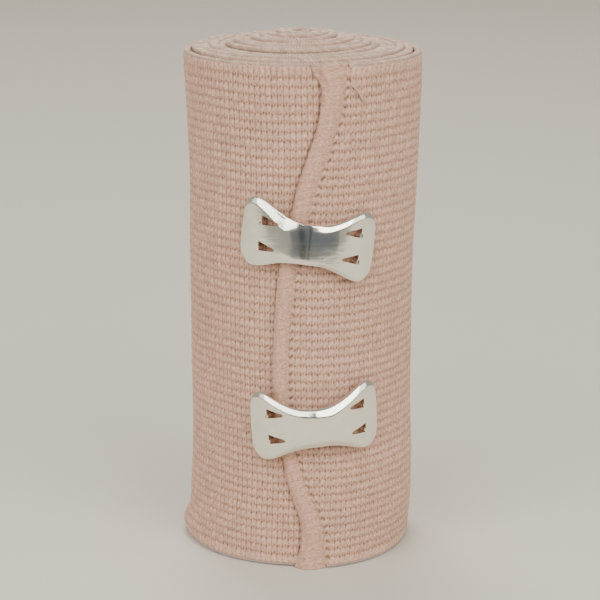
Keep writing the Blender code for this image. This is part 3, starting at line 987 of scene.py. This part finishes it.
def cloth_material(name, colors, fibre_scale, bump_distance):
    """Cotton knit: dark warm pits as painted shade, pink beige body, paler backs of the stitches as painted
    light, and fine fibres over all.
    """
    pit, body, back = colors
    material, shader = new_material(name, {
        "Roughness": 0.92,
        "Sheen Weight": 0.12,
        "Sheen Roughness": 0.5,
        "Specular IOR Level": 0.2,
    })
    tree = material.node_tree
    link = tree.links.new
    # The relief picks the colour: painted shade in the pits and grooves, painted light on the backs of the
    # stitches
    relief = node(tree, "ShaderNodeAttribute", attribute_name="relief")
    ramp = node(tree, "ShaderNodeValToRGB")
    first, last = ramp.color_ramp.elements
    first.position = 0.05
    first.color = pit
    last.position = 0.95
    last.color = back
    ramp.color_ramp.elements.new(0.5).color = body
    link(relief.outputs["Fac"], ramp.inputs["Fac"])
    where = node(tree, "ShaderNodeTexCoord")
    patches = node(tree, "ShaderNodeTexNoise", {"Scale": 60.0, "Detail": 4.0})
    link(where.outputs["Object"], patches.inputs["Vector"])
    darker = {"B": (0.90, 0.88, 0.86, 1.0)}
    tint = node(tree, "ShaderNodeMix", darker, data_type="RGBA", blend_type="MULTIPLY")
    link(patches.outputs["Fac"], tint.inputs["Factor"])
    link(ramp.outputs["Color"], tint.inputs["A"])
    uv = node(tree, "ShaderNodeUVMap", uv_map="cloth")
    stretch = node(tree, "ShaderNodeMapping", {"Scale": (1.5, 1.3, 1.0)})
    fibres = node(tree, "ShaderNodeTexNoise", {"Scale": fibre_scale, "Detail": 5.0, "Roughness": 0.7})
    link(uv.outputs["UV"], stretch.inputs["Vector"])
    link(stretch.outputs["Vector"], fibres.inputs["Vector"])
    contrast = node(tree, "ShaderNodeMapRange", {"From Min": 0.28, "From Max": 0.72})
    link(fibres.outputs["Fac"], contrast.inputs["Value"])
    speck = node(tree, "ShaderNodeMix", {"Factor": 0.56}, data_type="RGBA", blend_type="OVERLAY")
    link(tint.outputs["Result"], speck.inputs["A"])
    link(contrast.outputs["Result"], speck.inputs["B"])
    link(speck.outputs["Result"], shader.inputs["Base Color"])
    bump = node(tree, "ShaderNodeBump", {"Strength": 0.6, "Distance": bump_distance})
    link(fibres.outputs["Fac"], bump.inputs["Height"])
    link(bump.outputs["Normal"], shader.inputs["Normal"])
    return material


def metal_material():
    """Satin aluminium with long fine rolling marks, shallow dents, faint stains and an uneven gloss."""
    material, shader = new_material("satin_aluminium", {"Metallic": 1.0})
    tree = material.node_tree
    link = tree.links.new
    where = node(tree, "ShaderNodeTexCoord")
    stretch = node(tree, "ShaderNodeMapping", {"Scale": (140.0, 140.0, 2600.0)})
    marks = node(tree, "ShaderNodeTexNoise", {"Scale": 1.0, "Detail": 5.0})
    link(where.outputs["Object"], stretch.inputs["Vector"])
    link(stretch.outputs["Vector"], marks.inputs["Vector"])
    gloss = node(tree, "ShaderNodeMapRange", {"To Min": 0.06, "To Max": 0.22})
    link(marks.outputs["Fac"], gloss.inputs["Value"])
    link(gloss.outputs["Result"], shader.inputs["Roughness"])
    dents = node(tree, "ShaderNodeTexNoise", {"Scale": 420.0, "Detail": 3.0})
    link(where.outputs["Object"], dents.inputs["Vector"])
    stain_colors = {"A": (0.78, 0.76, 0.66, 1.0), "B": (0.98, 0.945, 0.84, 1.0)}
    stains = node(tree, "ShaderNodeMix", stain_colors, data_type="RGBA")
    link(dents.outputs["Fac"], stains.inputs["Factor"])
    link(stains.outputs["Result"], shader.inputs["Base Color"])
    hollow = node(tree, "ShaderNodeBump", {"Strength": 0.5, "Distance": 0.00006})
    link(dents.outputs["Fac"], hollow.inputs["Height"])
    bump = node(tree, "ShaderNodeBump", {"Strength": 0.18, "Distance": 0.00005})
    link(marks.outputs["Fac"], bump.inputs["Height"])
    link(hollow.outputs["Normal"], bump.inputs["Normal"])
    link(bump.outputs["Normal"], shader.inputs["Normal"])
    return material


def plain_material(name, color):
    """One plain matt colour."""
    material, _ = new_material(name, {"Base Color": color, "Roughness": 0.9})
    return material


def make_sheet(name, size, place, tilt_degrees, material):
    """A flat rectangle of the stage, level or stood up to face the roll."""
    net = bmesh.new()
    bmesh.ops.create_grid(net, x_segments=1, y_segments=1, size=0.5)
    bmesh.ops.scale(net, vec=(size[0], size[1], 1.0), verts=net.verts[:])
    mesh = bpy.data.meshes.new(name)
    net.to_mesh(mesh)
    net.free()
    mesh.materials.append(material)
    sheet = bpy.data.objects.new(name, mesh)
    sheet.location = place
    sheet.rotation_euler = (math.radians(tilt_degrees), 0.0, 0.0)
    bpy.context.scene.collection.objects.link(sheet)
    return sheet


def make_stage():
    """
    A pale floor that ends a little in front of the roll, and the dark side of the room round the camera.

    The clips mirror the dark cards. No view shows the cards themselves.
    """
    pale = plain_material("pale_floor", (0.63, 0.595, 0.515, 1.0))
    dark = plain_material("dark_card", (0.205, 0.24, 0.30, 1.0))
    darker = plain_material("darker_card", (0.08, 0.092, 0.115, 1.0))
    floor_place = (0.0, FLOOR_FRONT + FLOOR_SIZE[1] / 2, cad_low.z - FLOOR_DROP)
    make_sheet("floor", FLOOR_SIZE, floor_place, 0.0, pale)
    cards = (
        make_sheet("dark_card_low", (0.65, 0.60), (0.115, CARDS_FRONT, -0.27), 90.0, dark),
        make_sheet("dark_card_high", (0.23, 0.22), (0.005, CARDS_FRONT, 0.14), 90.0, dark),
        make_sheet("dark_card_middle", (0.115, 0.26), (0.0275, CARDS_FRONT, 0.38), 90.0, darker),
        make_sheet("darker_strip_left", (0.058, 0.80), (-0.074, STRIPS_FRONT, -0.15), 90.0, darker),
        make_sheet("darker_strip_right", (0.048, 0.80), (0.038, STRIPS_FRONT, -0.15), 90.0, darker),
    )
    for card in cards:
        card.visible_camera = False


def add_light(name, place, size, power, color):
    """A soft rectangular light that faces the middle of the roll."""
    light = bpy.data.lights.new(name, "AREA")
    light.shape = "RECTANGLE"
    light.size, light.size_y = size
    light.energy = power
    light.color = color
    lamp = bpy.data.objects.new(name, light)
    lamp.location = place
    towards = Vector((0.0, 0.0, BAND_WIDTH / 2)) - lamp.location
    lamp.rotation_euler = towards.to_track_quat("-Z", "Y").to_euler()
    bpy.context.scene.collection.objects.link(lamp)


def light_the_stage():
    """Soft light: two above the camera, one high behind the roll, one on each side, a pale surrounding."""
    warm = (1.0, 0.98, 0.95)
    add_light("light_front_left", (-0.30, -0.56, 0.44), (0.75, 0.60), 5.2, warm)
    add_light("light_front_right", (0.32, -0.58, 0.46), (0.52, 0.50), 4.4, warm)
    add_light("light_above", (-0.12, 0.60, 1.20), (0.5, 0.4), 10.0, warm)
    add_light("light_left", (-0.8, -0.4, 0.45), (0.6, 0.6), 1.0, warm)
    add_light("light_right", (0.8, -0.4, 0.45), (0.6, 0.6), 2.2, warm)
    world = bpy.data.worlds.new("pale_surrounding")
    world.use_nodes = True
    set_inputs(world.node_tree.nodes["Background"], {"Color": (1.0, 0.97, 0.86, 1.0), "Strength": 0.42})
    bpy.context.scene.world = world


def make_camera():
    """The camera at the photograph's angle, almost straight in front of the middle of the roll."""
    data = bpy.data.cameras.new("camera")
    data.lens = CAMERA_LENS
    data.sensor_width = 36.0
    data.clip_start = 0.01
    camera = bpy.data.objects.new("camera", data)
    middle = (roll_low + roll_high) / 2
    camera.location = (middle.x + CAMERA_ASIDE, middle.y - CAMERA_DISTANCE, CAMERA_HEIGHT)
    pitch = Matrix.Rotation(math.radians(90.0 - CAMERA_PITCH_DEGREES), 3, "X")
    roll = Matrix.Rotation(math.radians(CAMERA_ROLL_DEGREES), 3, "Z")
    camera.rotation_euler = (pitch @ roll).to_euler()
    bpy.context.scene.collection.objects.link(camera)
    bpy.context.scene.camera = camera


def make_object():
    """All pieces of the bandage."""
    knit = cloth_material("knitted_cotton", KNIT_COLORS, fibre_scale=2.4, bump_distance=0.00008)
    edge = cloth_material("edge_cotton", EDGE_COLORS, fibre_scale=2.4, bump_distance=0.00006)
    thread = cloth_material("overlock_thread", THREAD_COLORS, fibre_scale=1.2, bump_distance=0.00008)
    # A paler, greyer cloth for the foot's loops: painted light on them where they lie in shade
    foot = cloth_material("foot_cotton_painted_light", FOOT_PAINTED_LIGHT_COLORS, fibre_scale=2.4, bump_distance=0.00006)
    pale = cloth_material("pale_thread", STRAY_COLORS, fibre_scale=2.4, bump_distance=0.00003)
    metal = metal_material()
    panels = [make_panel(number, knit) for number in range(len(PANELS))]
    inner = make_inner_turns(knit)
    edges = [
        make_edge("top_edge", BAND_WIDTH - LOOP_HALF_HEIGHT, LOOP_SPACING, edge),
        make_edge("foot_edge", LOOP_HALF_HEIGHT, LOOP_SPACING_INSIDE_FOOT, foot),
    ]
    hem = make_hem(thread)
    stray = make_stray_thread(pale)
    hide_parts("bandage_roll")
    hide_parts("end_hem")
    for clip in CLIPS:
        make_clip(clip, metal)


make_camera()
make_object()
make_stage()
light_the_stage()
